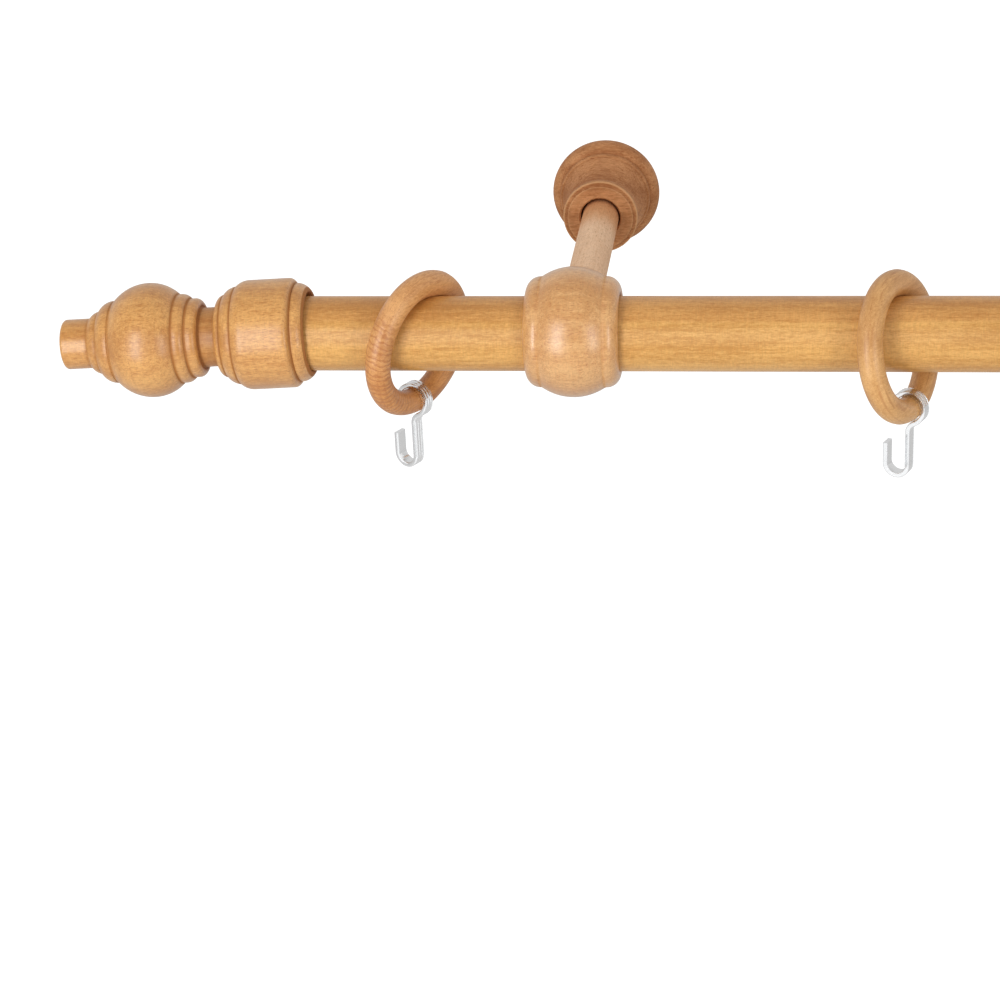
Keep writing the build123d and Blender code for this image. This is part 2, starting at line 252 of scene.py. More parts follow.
def buildTurnedFinish():
    group, given, result = newGroup(
        "turnedFinish",
        [("Color", "Color", (1, 1, 1, 1)),
         ("Groove Tone", "Color", (0.2, 0.08, 0.03, 1)), ("Groove Amount", "Float", 0.0),
         ("Edge Tone", "Color", (0.8, 0.55, 0.3, 1)), ("Edge Amount", "Float", 0.3)],
        [("Color", "Color"), ("Rings", "Float"), ("Polish", "Float")])
    turn = addNode(group, "ShaderNodeAttribute", attribute_name="turnedEdge").outputs["Fac"]
    groove = sums(group, "MULTIPLY", turn, -1.0, clamp=True)
    edge = sums(group, "MULTIPLY", turn, 1.0, clamp=True)
    # hollow lines get stain and painted shade, convex edges get rubbed wear and painted highlight
    toneShift, rubAndHighlight = times(group, groove, given["Groove Amount"]), times(group, edge, given["Edge Amount"])
    shifted = blendColor(group, toneShift, given["Color"], given["Groove Tone"])
    rubbedAndHighlit = blendColor(group, rubAndHighlight, shifted, given["Edge Tone"])
    place = stretched(group, objectPlace(group), sanding["along"], sanding["across"])
    rings = noiseOn(group, place, 1.0, 3.0, 0.7)
    tint = ramp(group, rings, *sanding["contrast"], sanding["dark"], sanding["light"])
    sanded = blendColor(group, 1.0, rubbedAndHighlit, tint, "MULTIPLY")
    group.links.new(sanded, result["Color"])
    group.links.new(rings, result["Rings"])
    group.links.new(sums(group, "SUBTRACT", 1.0, groove), result["Polish"])  # stain in a line stays matt
    return group


# varnish that is a little uneven: gives the gloss its small changes

sheenCloud = dict(along=160.0, across=260.0, low=0.3, high=0.7)


def buildVarnishSheen():
    group, given, result = newGroup(
        "varnishSheen", [("Gloss Low", "Float", 0.3), ("Gloss High", "Float", 0.45)],
        [("Roughness", "Float")])
    place = stretched(group, objectPlace(group), sheenCloud["along"], sheenCloud["across"])
    spread = addNode(group, "ShaderNodeMapRange")
    group.links.new(noiseOn(group, place, 1.0, 3.0, 0.6), spread.inputs["Value"])
    spread.inputs["From Min"].default_value = sheenCloud["low"]
    spread.inputs["From Max"].default_value = sheenCloud["high"]
    group.links.new(given["Gloss Low"], spread.inputs["To Min"])
    group.links.new(given["Gloss High"], spread.inputs["To Max"])
    group.links.new(spread.outputs["Result"], result["Roughness"])
    return group


beechFigure = buildBeechFigure()
turnedFinish = buildTurnedFinish()
varnishSheen = buildVarnishSheen()

woodTones = {
    "finialWood": dict(
        sapwood=(0.755, 0.40, 0.122), heartwood=(0.53, 0.228, 0.05), fleck=(0.38, 0.12, 0.022),
        flecks=0.6, pores=0.75,
        groove=(0.33, 0.118, 0.024), grooveAmount=0.85, edge=(0.80, 0.46, 0.19), edgeAmount=0.25,
        gloss=(0.38, 0.48), coat=0.75, specular=0.5, along=0.6, bump=0.22),
    "rodWood": dict(
        sapwood=(0.765, 0.425, 0.125), heartwood=(0.55, 0.258, 0.055), fleck=(0.45, 0.17, 0.03),
        flecks=0.3, pores=0.5,
        edge=(0.8, 0.5, 0.2), edgeAmount=0.2,
        gloss=(0.42, 0.54), coat=0.4, specular=0.45, along=0.6, bump=0.22, paintedTopShade=(0.89, 0.81, 0.78)),
    "holderWood": dict(
        sapwood=(0.775, 0.445, 0.18), heartwood=(0.60, 0.29, 0.095), fleck=(0.43, 0.145, 0.038),
        flecks=0.65, pores=0.8,
        groove=(0.46, 0.2, 0.075), grooveAmount=0.22, edge=(0.82, 0.5, 0.24), edgeAmount=0.25,
        gloss=(0.32, 0.42), coat=0.9, specular=0.5, along=0.25, bump=0.2),
    "armWood": dict(
        sapwood=(0.865, 0.58, 0.375), heartwood=(0.76, 0.475, 0.285), fleck=(0.47, 0.255, 0.125),
        flecks=0.65, pores=0.5,
        edge=(0.8, 0.6, 0.42), edgeAmount=0.2,
        gloss=(0.66, 0.80), coat=0.0, specular=0.2, along=0.0, bump=0.35, toneShift=(0.82, 0.62, 0.45)),
    # on the rose the paler edges are painted highlight along with rubbed wear
    "roseWood": dict(
        sapwood=(0.58, 0.27, 0.112), heartwood=(0.36, 0.135, 0.043), fleck=(0.26, 0.07, 0.018),
        flecks=0.8, pores=0.55,
        groove=(0.26, 0.095, 0.033), grooveAmount=0.3, edge=(0.76, 0.44, 0.21), edgeAmount=0.95,
        gloss=(0.52, 0.64), coat=0.0, specular=0.2, along=0.0, bump=0.28, crossGrain=True),
}
varnish = dict(coatRoughness=0.3, glossTurn=0.25, mattStain=0.75, toolRings=0.5, relief=0.06)
armNearRose = dict(start=82.0, full=106.0, sway=8.0, drift=(120.0, 420.0))  # darker towards the rose
paintedTopShade = dict(start=8.4, full=9.8, sway=1.4, drift=(14.0, 60.0))  # painted shade on the rod's top: heights over the rod's axis


def opaque(color):
    return (*color, 1.0)


def acrossGrain(tree):
    axes = axesOf(tree, objectPlace(tree))
    swapped = addNode(tree, "ShaderNodeCombineXYZ")
    for taken, given in (("Y", "X"), ("X", "Y"), ("Z", "Z")):
        tree.links.new(axes[taken], swapped.inputs[given])
    return swapped.outputs[0]


# painted shade: the rod darker over its top
def paintTopShade(tree, color, place, tone):
    drift = noiseOn(tree, stretched(tree, place, *paintedTopShade["drift"]), 1.0, 2.0, 0.5)
    height = sums(tree, "ADD", axesOf(tree, place)["Z"], times(tree, drift, paintedTopShade["sway"] * mm))
    start, full = ((paintedTopShade[key] + paintedTopShade["sway"] / 2) * mm for key in ("start", "full"))
    return blendColor(tree, ramp(tree, height, start, full), color, opaque(tone), "MULTIPLY")


# the arm darker towards the rose
def darkerNearRose(tree, color, place, tone):
    drift = noiseOn(tree, stretched(tree, place, *armNearRose["drift"]), 1.0, 2.0, 0.5)
    run = sums(tree, "ADD", axesOf(tree, place)["X"], times(tree, drift, armNearRose["sway"] * mm))
    amount = ramp(tree, run, armNearRose["start"] * mm, armNearRose["full"] * mm)
    return blendColor(tree, amount, color, opaque(tone), "MULTIPLY")


def beechOn(tree, place, tone):
    return placeGroup(tree, beechFigure, **{
        "Place": place, "Sapwood": opaque(tone["sapwood"]), "Heartwood": opaque(tone["heartwood"]),
        "Fleck": opaque(tone["fleck"]), "Fleck Amount": tone["flecks"], "Pore Amount": tone["pores"],
        "Seed": beechGrain["seedStep"] * len(bpy.data.materials)})  # no two finishes share their grain


def sheenOn(tree, low, high):
    return placeGroup(tree, varnishSheen, **{"Gloss Low": low, "Gloss High": high})["Roughness"]


def turnedWood(name):
    tone = woodTones[name]
    material, tree, shader = newMaterial(name, **{
        "Coat Weight": tone["coat"], "Coat Roughness": varnish["coatRoughness"],
        "Specular IOR Level": tone["specular"], "Anisotropic": tone["along"],
        "Anisotropic Rotation": varnish["glossTurn"]})
    spin = addNode(tree, "ShaderNodeTangent", direction_type="RADIAL", axis="X")  # rings stretch the gloss
    tree.links.new(spin.outputs[0], shader["Tangent"])
    place = acrossGrain(tree) if "crossGrain" in tone else objectPlace(tree)
    figure = beechOn(tree, place, tone)
    color = figure["Color"]
    if "paintedTopShade" in tone:
        color = paintTopShade(tree, color, place, tone["paintedTopShade"])
    if "toneShift" in tone:
        color = darkerNearRose(tree, color, place, tone["toneShift"])
    worn = {"Color": color, "Edge Tone": opaque(tone["edge"]), "Edge Amount": tone["edgeAmount"]}
    if "groove" in tone:
        worn.update({"Groove Tone": opaque(tone["groove"]), "Groove Amount": tone["grooveAmount"]})
    finish = placeGroup(tree, turnedFinish, **worn)
    roughness = blendValue(tree, finish["Polish"], varnish["mattStain"], sheenOn(tree, *tone["gloss"]))
    relief = sums(tree, "ADD", figure["Height"], times(tree, finish["Rings"], varnish["toolRings"]))
    tree.links.new(finish["Color"], shader["Base Color"])
    tree.links.new(roughness, shader["Roughness"])
    if tone["coat"] and "groove" in tone:  # no coat over the stain in a line
        tree.links.new(times(tree, finish["Polish"], tone["coat"]), shader["Coat Weight"])
    tree.links.new(bumpFrom(tree, relief, tone["bump"], varnish["relief"] * mm), shader["Normal"])
    return material


wood = {name: turnedWood(name) for name in woodTones}
print("wood finishes:", ", ".join(wood))


# ring wood: turned from flat boards, with cutter marks where the end grain comes out at the lower front

ringTones = {
    "warm": dict(
        sapwood=(0.765, 0.40, 0.15), heartwood=(0.57, 0.25, 0.074), fleck=(0.40, 0.125, 0.026),
        flecks=0.6, pores=0.6, marks=1.0, layers=0.35, lowerTone=(0.92, 0.82, 0.66)),
    "tan": dict(
        sapwood=(0.735, 0.405, 0.15), heartwood=(0.565, 0.275, 0.083), fleck=(0.44, 0.17, 0.042),
        flecks=0.6, pores=0.6, marks=0.2, layers=0.6, lowerTone=(1.08, 1.12, 1.14)),
}
ringVarnish = dict(coat=0.45, coatRoughness=0.38, specular=0.5, gloss=(0.40, 0.54), bump=0.6, relief=0.08)
cutterMarks = dict(
    count=76, slant=620.0, wobble=9.0, wobbleScale=330.0, lit=-0.1, deep=-1.0, tint=0.6,
    toward=(-0.93, -0.34, 0.1), start=7.1, full=20.1)
# ring colour multiplied towards the bottom and one side: darker on the warm ring, paler on the tan ring
lowerPart = dict(toward=(-0.45, -0.89, 0.0), start=1.0, full=19.0)
boardLayers = dict(scale=(45.0, 45.0, 1250.0), contrast=(0.54, 0.66))  # they lie in the ring's plane


def ringSide(tree, place, spot):
    return ramp(tree, facing(tree, place, spot["toward"]), spot["start"] * mm, spot["full"] * mm)


def ringMarks(tree, place):
    axes = axesOf(tree, place)
    turn = times(tree, sums(tree, "ARCTAN2", axes["Y"], axes["X"]), cutterMarks["count"])
    slant = times(tree, axes["Z"], cutterMarks["slant"])
    wobble = times(tree, noiseOn(tree, place, cutterMarks["wobbleScale"]), cutterMarks["wobble"])
    wave = sums(tree, "SINE", sums(tree, "ADD", sums(tree, "ADD", turn, slant), wobble))
    return times(tree, wave, ringSide(tree, place, cutterMarks))


def growthLayers(tree, place):
    flat = scaled(tree, place, boardLayers["scale"])
    return ramp(tree, noiseOn(tree, flat, 1.0, 3.0, 0.6), *boardLayers["contrast"])


def ringWood(name):
    tone = ringTones[name]
    material, tree, shader = newMaterial(name + "RingWood", **{
        "Coat Weight": ringVarnish["coat"], "Coat Roughness": ringVarnish["coatRoughness"],
        "Specular IOR Level": ringVarnish["specular"]})
    place = objectPlace(tree)
    figure = beechOn(tree, place, tone)
    marks = times(tree, ringMarks(tree, place), tone["marks"])
    layers = times(tree, growthLayers(tree, place), tone["layers"])
    layered = blendColor(tree, layers, figure["Color"], opaque(tone["fleck"]))
    toned = blendColor(tree, ringSide(tree, place, lowerPart), layered, opaque(tone["lowerTone"]), "MULTIPLY")
    toneShift = ramp(tree, marks, cutterMarks["lit"], cutterMarks["deep"], 0.0, cutterMarks["tint"])
    marked = blendColor(tree, toneShift, toned, opaque(tone["fleck"]))
    relief = sums(tree, "ADD", figure["Height"], marks)
    tree.links.new(marked, shader["Base Color"])
    tree.links.new(sheenOn(tree, *ringVarnish["gloss"]), shader["Roughness"])
    tree.links.new(bumpFrom(tree, relief, ringVarnish["bump"], ringVarnish["relief"] * mm), shader["Normal"])
    return material


ringFinish = {name: ringWood(name) for name in ringTones}
print("ring finishes:", ", ".join(ringFinish))


plasticTone = dict(
    color=(0.78, 0.79, 0.80), ior=1.46, flow=(90.0, 700.0), contrast=(0.35, 0.7), gloss=(0.05, 0.22),
    bump=0.5, relief=0.15)


def clearPlastic():
    tone = plasticTone
    material, tree, shader = newMaterial("clearPlastic", **{
        "Base Color": opaque(tone["color"]), "Transmission Weight": 1.0, "IOR": tone["ior"]})
    flow = noiseOn(tree, stretched(tree, objectPlace(tree), *tone["flow"]), 1.0, 2.0, 0.55)  # moulding lines
    tree.links.new(ramp(tree, flow, *tone["contrast"], *tone["gloss"]), shader["Roughness"])
    tree.links.new(bumpFrom(tree, flow, tone["bump"], tone["relief"] * mm), shader["Normal"])
    return material


zincTone = dict(
    light=(0.66, 0.66, 0.67), dark=(0.50, 0.51, 0.54), cloud=(300.0, 500.0), contrast=(0.35, 0.65),
    glossContrast=(0.3, 0.7), gloss=(0.26, 0.42), bump=0.2, relief=0.03)


def zincSteel():
    tone = zincTone
    material, tree, shader = newMaterial("zincSteel", **{"Metallic": 1.0})
    cloud = noiseOn(tree, stretched(tree, objectPlace(tree), *tone["cloud"]), 1.0, 3.0, 0.6)
    tint = blendColor(tree, ramp(tree, cloud, *tone["contrast"]), opaque(tone["light"]), opaque(tone["dark"]))
    tree.links.new(tint, shader["Base Color"])
    tree.links.new(ramp(tree, cloud, *tone["glossContrast"], *tone["gloss"]), shader["Roughness"])
    tree.links.new(bumpFrom(tree, cloud, tone["bump"], tone["relief"] * mm), shader["Normal"])
    return material


hookFinish = clearPlastic()
screwFinish = zincSteel()
print("plastic and steel finishes")


# turning: an outline of stretches, softened the way sanding and varnish soften it, spun about X

arcPoints = 24
outlineStep = 0.12  # millimetres between the points of a fine outline
turnedLine = dict(width=0.5, depth=1.7, reach=12, rubAndHighlight=0.35)  # stain and painted shade in hollow corners, rubbed wear and painted highlight on edges
thinning = dict(toneShift=0.12, bend=0.055, run=2.5)  # the changes after which a point is kept


def stretchPoints(x, stretch):
    kind, length, startD, endD = stretch[:4]
    start = np.array([x, startD / 2])
    end = np.array([x + length, endD / 2])
    if kind == "straight":
        return [start, end]
    if kind == "hollow":  # bows in by the fifth value
        along = end - start
        span = np.hypot(*along)
        out = np.array([-along[1], along[0]]) / span
        shares = np.linspace(0, 1, arcPoints)
        return [start + along * s - out * stretch[4] * (1 - (2 * s - 1) ** 2) for s in shares]
    rise = abs(endD - startD) / 2  # round: level with the axis at the thicker end
    radius = (length ** 2 + rise ** 2) / (2 * rise)
    angles = np.linspace(0, 2 * math.atan2(rise, length), arcPoints)
    drop = radius * (1 - np.cos(angles))
    run = radius * np.sin(angles)
    if endD > startD:
        return [np.array([end[0] - a, end[1] - b]) for a, b in zip(run, drop)][::-1]
    return [np.array([start[0] + a, start[1] - b]) for a, b in zip(run, drop)]


def outlineOf(stretches):
    points = []
    x = 0.0
    for stretch in stretches:
        points += stretchPoints(x, stretch)
        x += stretch[1]
    return points


def bellWeights(reach, width):
    weights = np.exp(-0.5 * (np.arange(-reach, reach + 1) * outlineStep / width) ** 2)
    return weights / weights.sum()


def softened(points, softness, closed, mode):
    points = np.array(points)
    if closed:
        points = np.vstack([points, points[:1]])
    steps = np.hypot(*np.diff(points, axis=0).T)
    points = points[np.concatenate([[True], steps > 1e-6])]
    run = np.concatenate([[0], np.cumsum(np.hypot(*np.diff(points, axis=0).T))])
    at = np.linspace(0, run[-1], int(run[-1] / outlineStep) + 1)
    fine = np.stack([np.interp(at, run, points[:, 0]), np.interp(at, run, points[:, 1])], 1)
    if closed:
        fine = fine[:-1]
    reach = int(4 * softness / outlineStep)
    padded = np.pad(fine, ((reach, reach), (0, 0)), mode=mode)
    weights = bellWeights(reach, softness)
    smooth = np.stack([np.convolve(padded[:, i], weights, "valid") for i in (0, 1)], 1)
    if not closed:
        smooth[0], smooth[-1] = points[0], points[-1]
    return smooth


def bendAlong(smooth, closed):
    ahead = np.roll(smooth, -1, 0) - smooth
    behind = smooth - np.roll(smooth, 1, 0)
    cross = ahead[:, 1] * behind[:, 0] - ahead[:, 0] * behind[:, 1]
    sines = cross / (np.hypot(*ahead.T) * np.hypot(*behind.T) + 1e-12)
    bend = np.arcsin(np.clip(sines, -1, 1)) / outlineStep
    if not closed:
        bend[0] = bend[-1] = 0
    return bend


def edgeAndHollowTones(bend, mode):
    # painted highlight with rubbed wear on convex edges, stain with painted shade in hollows
    edges = np.clip(-bend, 0, None) * turnedLine["rubAndHighlight"]
    reach = turnedLine["reach"]
    hollows = np.pad(np.clip(bend, 0, None), reach, mode=mode)
    hollows = np.convolve(hollows, bellWeights(reach, turnedLine["width"]), "valid")
    return edges - np.clip(hollows * turnedLine["depth"], 0, 1)


def fineOutline(points, softness, closed):
    mode = "wrap" if closed else "edge"
    smooth = softened(points, softness, closed, mode)
    bend = bendAlong(smooth, closed)
    values = edgeAndHollowTones(bend, mode)
    kept, gone, bent = [0], 0.0, 0.0
    for i in range(1, len(smooth)):  # drops points along flat runs
        gone += outlineStep
        bent += abs(bend[i]) * outlineStep
        shifted = abs(values[i] - values[kept[-1]]) > thinning["toneShift"]
        if bent > thinning["bend"] or gone > thinning["run"] or shifted or i == len(smooth) - 1:
            kept.append(i)
            gone = bent = 0.0
    return smooth[kept], values[kept]


def smoothMesh(name, vertices, faces):
    mesh = bpy.data.meshes.new(name)
    mesh.from_pydata(vertices, [], faces)
    mesh.polygons.foreach_set("use_smooth", [True] * len(faces))
    mesh.update()
    return mesh


def turnedMesh(name, points, softness, around, closed=False):
    outline, edges = fineOutline(points, softness, closed)
    vertices, faces, values, rows = [], [], [], []
    for (x, r), edge in zip(outline, edges):
        if r < 1e-4:  # on the axis
            rows.append([len(vertices)])
            vertices.append((x * mm, 0, 0))
            values.append(edge)
            continue
        rows.append(list(range(len(vertices), len(vertices) + around)))
        for k in range(around):
            angle = 2 * math.pi * k / around
            vertices.append((x * mm, r * mm * math.cos(angle), r * mm * math.sin(angle)))
            values.append(edge)
    pairs = list(zip(rows, rows[1:]))
    if closed:
        pairs.append((rows[-1], rows[0]))
    for here, there in pairs:
        for k in range(around):
            n = (k + 1) % around
            if len(here) == 1:
                faces.append((here[0], there[n], there[k]))
            elif len(there) == 1:
                faces.append((here[k], here[n], there[0]))
            else:
                faces.append((here[k], here[n], there[n], there[k]))
    mesh = smoothMesh(name, vertices, faces)
    toneShift = mesh.attributes.new("turnedEdge", "FLOAT", "POINT")
    toneShift.data.foreach_set("value", np.array(values, np.float32))
    return mesh


def turnedSpots(mesh):
    values = mesh.attributes["turnedEdge"].data
    for vertex in mesh.vertices:
        yield vertex.co.x / mm, math.hypot(vertex.co.y, vertex.co.z) / mm, values[vertex.index]


def addPiece(name, mesh, place, body, nodes, material):
    piece = bpy.data.objects.new(name, mesh)
    scene.collection.objects.link(piece)
    piece.matrix_world = place
    mesh.materials.clear()
    mesh.materials.append(material)
    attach(piece, body)
    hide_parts(*nodes)


cutCrease = math.radians(40)


def cutBy(mesh, tools):
    piece = bpy.data.objects.new("blank", mesh)
    scene.collection.objects.link(piece)
    cutters = []
    for toolMesh, place in tools:
        tool = bpy.data.objects.new("tool", toolMesh)
        scene.collection.objects.link(tool)
        tool.matrix_world = place
        cutters.append(tool)
        cut = piece.modifiers.new("cut", "BOOLEAN")
        cut.object = tool
        cut.solver = "EXACT"
    bpy.context.view_layer.update()
    result = bpy.data.meshes.new_from_object(piece.evaluated_get(bpy.context.evaluated_depsgraph_get()))
    for spent in [piece] + cutters:
        bpy.data.objects.remove(spent)
    result.set_sharp_from_angle(angle=cutCrease)
    return result


def toward(direction):
    along = Vector(direction).normalized()
    side = Vector((0, 0, 1)).cross(along)
    if side.length < 1e-6:  # straight up
        side = Vector((0, 1, 0))
    side.normalize()
    return Matrix((along, side, along.cross(side))).transposed().to_4x4()


def middleOf(node):
    low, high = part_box(node)
    return (low + high) / 2


rodLow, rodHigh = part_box("rod")
rodMiddle = middleOf("rod")
rodRadius = (rodHigh.z - rodLow.z) / 2 / mm
rodLength = (rodHigh.x - rodLow.x) / mm


def dowelOutline(length, d, chamfer):
    endD = d - 2 * chamfer
    outside = outlineOf([
        ("straight", chamfer, endD, d),
        ("straight", length - 2 * chamfer, d, d),
        ("straight", chamfer, d, endD)])
    return [(0.0, 0.0), *outside, (length, 0.0)]


rodPiece = dict(chamfer=1.5, softness=0.35, around=128)


def makeRod():
    points = dowelOutline(rodLength, 2 * rodRadius, rodPiece["chamfer"])
    mesh = turnedMesh("rodWoodwork", points, rodPiece["softness"], rodPiece["around"])
    place = Matrix.Translation((rodLow.x, rodMiddle.y, rodMiddle.z))
    addPiece("rodTurned", mesh, place, "pole", ["rod"], wood["rodWood"])


makeRod()
print("rod turned")


finialPiece = dict(
    socketD=29.6, socketDepth=27.0, socketChamfer=0.5, onRod=24.5, lift=0.7, softness=0.22, around=112,
    # painted light: more painted shade in the recessed neck, a painted shadow at the mouth, less painted
    # shade in the lines by the tip
    neck=dict(start=31.0, end=46.0, r=13.0, amount=0.42),  # where more or less stain and painted shade stays
    tip=dict(start=74.5, amount=0.4), mouth=dict(end=1.3, r=17.0, amount=-1.0),
    stretches=[
        ("round", 4.6, 31.4, 37.1),  # collar at the mouth
        ("straight", 0.8, 36.0, 38.0),  # turned line
        ("round", 2.1, 38.0, 41.2),
        ("straight", 15.35, 41.2, 41.2),  # cap
        ("round", 4.6, 41.2, 37.5),
        ("round", 4.85, 37.0, 31.8),  # step
        ("round", 2.2, 31.4, 22.6),  # bead
        ("hollow", 7.2, 22.6, 22.6, 0.1),  # neck
        ("round", 2.2, 23.4, 29.8),
        ("straight", 2.1, 29.8, 29.8),
        ("round", 3.0, 30.2, 33.6),
        ("straight", 1.6, 33.6, 33.6),
        ("round", 11.15, 34.0, 43.3),  # ball
        ("round", 13.35, 43.3, 30.9),
        ("straight", 0.5, 30.5, 30.5),
        ("round", 5.4, 31.2, 24.9),  # shoulder
        ("round", 4.0, 23.9, 19.5),
        ("straight", 9.5, 18.9, 18.9),  # tip
        ("round", 1.2, 18.9, 16.5)])


def paintShadeOnFinial(mesh):
    neck, tip, mouth = (finialPiece[key] for key in ("neck", "tip", "mouth"))
    for x, r, edge in turnedSpots(mesh):
        # painted shade: the recessed neck darker
        if neck["start"] < x < neck["end"] and r < neck["r"]:
            edge.value -= neck["amount"]
        # the lines by the tip get less painted shade, as where light falls on them
        if x > tip["start"] and edge.value < 0:
            edge.value *= tip["amount"]
        # painted shadow: a dark band at the mouth, against the rod
        if x < mouth["end"] and r < mouth["r"]:
            edge.value = mouth["amount"]


def makeFinials():
    size = finialPiece
    outside = outlineOf(size["stretches"])
    socketR, chamfer, depth = size["socketD"] / 2, size["socketChamfer"], size["socketDepth"]
    inside = [(depth, 0.0), (depth, socketR), (chamfer, socketR), (0.0, socketR + chamfer)]
    points = [*inside, *outside, (outside[-1][0], 0.0)]
    droop = math.atan2(2 * size["lift"], size["onRod"])
    for name, side in sides.items():
        mesh = turnedMesh("finialWoodwork_" + name, points, size["softness"], size["around"])
        paintShadeOnFinial(mesh)
        mouthX = side * (rodLength / 2 - size["onRod"]) * mm
        mouth = Matrix.Translation((mouthX, rodMiddle.y, rodMiddle.z + size["lift"] * mm))
        outward = Matrix.Rotation(0 if side > 0 else math.pi, 4, "Z")
        place = mouth @ outward @ Matrix.Rotation(droop, 4, "Y")
        addPiece("finialTurned_" + name, mesh, place, "pole", ["finial_" + name],
                 wood["finialWood"])


makeFinials()
print("finials turned")


holderPiece = dict(
    boreD=29.5, boreChamfer=0.5, armHoleD=15.1, armReach=40.0, softness=0.3, around=112,
    screwSeat=23.8, screwD=3.2, screwHeadD=6.0, screwReach=12.0,
    half=[
        ("round", 5.3, 32.2, 41.3),  # end bead
        ("straight", 0.5, 41.0, 41.4),  # turned line
        ("round", 11.7, 41.4, 48.6)])  # bulge


def mirrored(stretches):
    return [(kind, length, endD, startD) for kind, length, startD, endD in reversed(stretches)]


drill = dict(above=3.0, softness=0.06, around=40, armAround=64)


def screwTool(size):
    shankR, headR = size["screwD"] / 2, size["screwHeadD"] / 2
    above, reach = drill["above"], size["screwReach"]
    points = [(-above, 0.0), (-above, headR), (0.0, headR),
              (headR - shankR, shankR), (reach, shankR), (reach, 0.0)]
    return turnedMesh("lockTool", points, drill["softness"], drill["around"])


def armTool(size):
    holeR, reach = size["armHoleD"] / 2, size["armReach"]
    points = [(0.0, 0.0), (0.0, holeR), (reach, holeR), (reach, 0.0)]
    return turnedMesh("armTool", points, drill["softness"], drill["armAround"])


def makeHolders():
    size = holderPiece
    outside = outlineOf(size["half"] + mirrored(size["half"]))
    length = outside[-1][0]
    boreR, chamfer = size["boreD"] / 2, size["boreChamfer"]
    inside = [(length, boreR + chamfer), (length - chamfer, boreR), (chamfer, boreR), (0.0, boreR + chamfer)]
    towardWall = Matrix.Translation((length / 2 * mm, 0, 0)) @ toward((0, 1, 0))
    below = Matrix.Translation((length / 2 * mm, 0, -size["screwSeat"] * mm)) @ toward((0, 0, 1))
    for name in sides:
        armMiddle = middleOf("bracket_arm_" + name)
        blank = turnedMesh("holderBlank", outside + inside, size["softness"], size["around"], closed=True)
        mesh = cutBy(blank, [(armTool(size), towardWall), (screwTool(size), below)])
        mesh.name = "holderWoodwork_" + name
        place = Matrix.Translation((armMiddle.x - length / 2 * mm, rodMiddle.y, armMiddle.z))
        addPiece("holderTurned_" + name, mesh, place, "pole", ["rod_holder_" + name],
                 wood["holderWood"])


makeHolders()
print("holders turned")


armPiece = dict(d=15.0, chamfer=0.8, softness=0.2, around=80)


def makeArms():
    for name in sides:
        low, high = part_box("bracket_arm_" + name)
        points = dowelOutline((high.y - low.y) / mm, armPiece["d"], armPiece["chamfer"])
        mesh = turnedMesh("armWoodwork_" + name, points, armPiece["softness"], armPiece["around"])
        middle = middleOf("bracket_arm_" + name)
        place = Matrix.Translation((middle.x, low.y, middle.z)) @ toward((0, 1, 0))
        addPiece("armDowel_" + name, mesh, place, "pole", ["bracket_arm_" + name],
                 wood["armWood"])


makeArms()
print("arms made")


rosePiece = dict(
    holeD=16.2, holeChamfer=0.8, floor=12.0, wallHoleD=5.2, headHoleD=9.8, softness=0.22, around=112,
    screwSeat=12.7, screwD=3.2, screwHeadD=6.0, screwReach=7.0,
    front=4.0, lipR=14.2, lipHighlight=0.75, collarHighlight=1.4,  # paler edges at the arm's side, a painted highlight: fainter on the lip, stronger on the collar
    stretches=[
        ("round", 4.3, 43.0, 45.0),  # rim against the wall
        ("round", 5.3, 45.0, 38.4),
        ("straight", 0.5, 37.6, 37.9),  # turned line
        ("round", 1.9, 37.9, 36.8),  # step
        ("hollow", 18.2, 36.0, 26.4, 1.0),  # bell
        ("round", 3.6, 27.0, 30.8),  # collar
        ("straight", 1.4, 30.8, 30.8),
        ("round", 0.8, 30.8, 29.2),
        ("straight", 0.8, 27.8, 26.8)])  # lip


def highlightRoseEdges(mesh, front):
    # painted highlight on the edges of the collar and lip
    for x, r, edge in turnedSpots(mesh):
        if x > front and edge.value > 0:
            edge.value *= rosePiece["lipHighlight"] if r < rosePiece["lipR"] else rosePiece["collarHighlight"]


def makeRoses():
    size = rosePiece
    outside = outlineOf(size["stretches"])
    depth = outside[-1][0]
    holeR, chamfer, floor = size["holeD"] / 2, size["holeChamfer"], size["floor"]
    wallR, headR = size["wallHoleD"] / 2, size["headHoleD"] / 2
    inside = [(depth, holeR + chamfer), (depth - chamfer, holeR), (floor, holeR),
              (floor, headR), (floor - (headR - wallR), wallR), (0.0, wallR)]
    for name in sides:
        blank = turnedMesh("roseBlank", outside + inside, size["softness"], size["around"], closed=True)
        highlightRoseEdges(blank, depth - size["front"])
        middle = middleOf("wall_rose_" + name)
        lockY = middleOf("arm_screw_" + name).y
        below = Matrix.Translation((-lockY, 0, -size["screwSeat"] * mm)) @ toward((0, 0, 1))
        mesh = cutBy(blank, [(screwTool(size), below)])
        mesh.name = "roseWoodwork_" + name
        place = Matrix.Translation((middle.x, 0, middle.z)) @ toward((0, -1, 0))
        addPiece("roseTurned_" + name, mesh, place, "pole", ["wall_rose_" + name],
                 wood["roseWood"])


makeRoses()
print("roses turned")


# screws: countersunk head with a cross, plain shank and a cut thread

lockScrew = dict(d=3.0, shankD=3.0, headD=5.8, tip=1.4, plain=1.6, pitch=0.9, depth=0.35, axis=(0, 0, 1))
screwKinds = {
    "wall_screw": dict(
        d=5.0, shankD=3.7, headD=9.6, tip=6.0, plain=12.0, pitch=2.0, depth=0.7, axis=(0, 1, 0)),
    "arm_screw": lockScrew,
    "rod_screw": lockScrew,
}
screwDrive = dict(width=0.8, depth=0.8, margin=1.3)
thread = dict(around=40, perPitch=12, steep=1.6, flat=0.5, pointR=0.4)


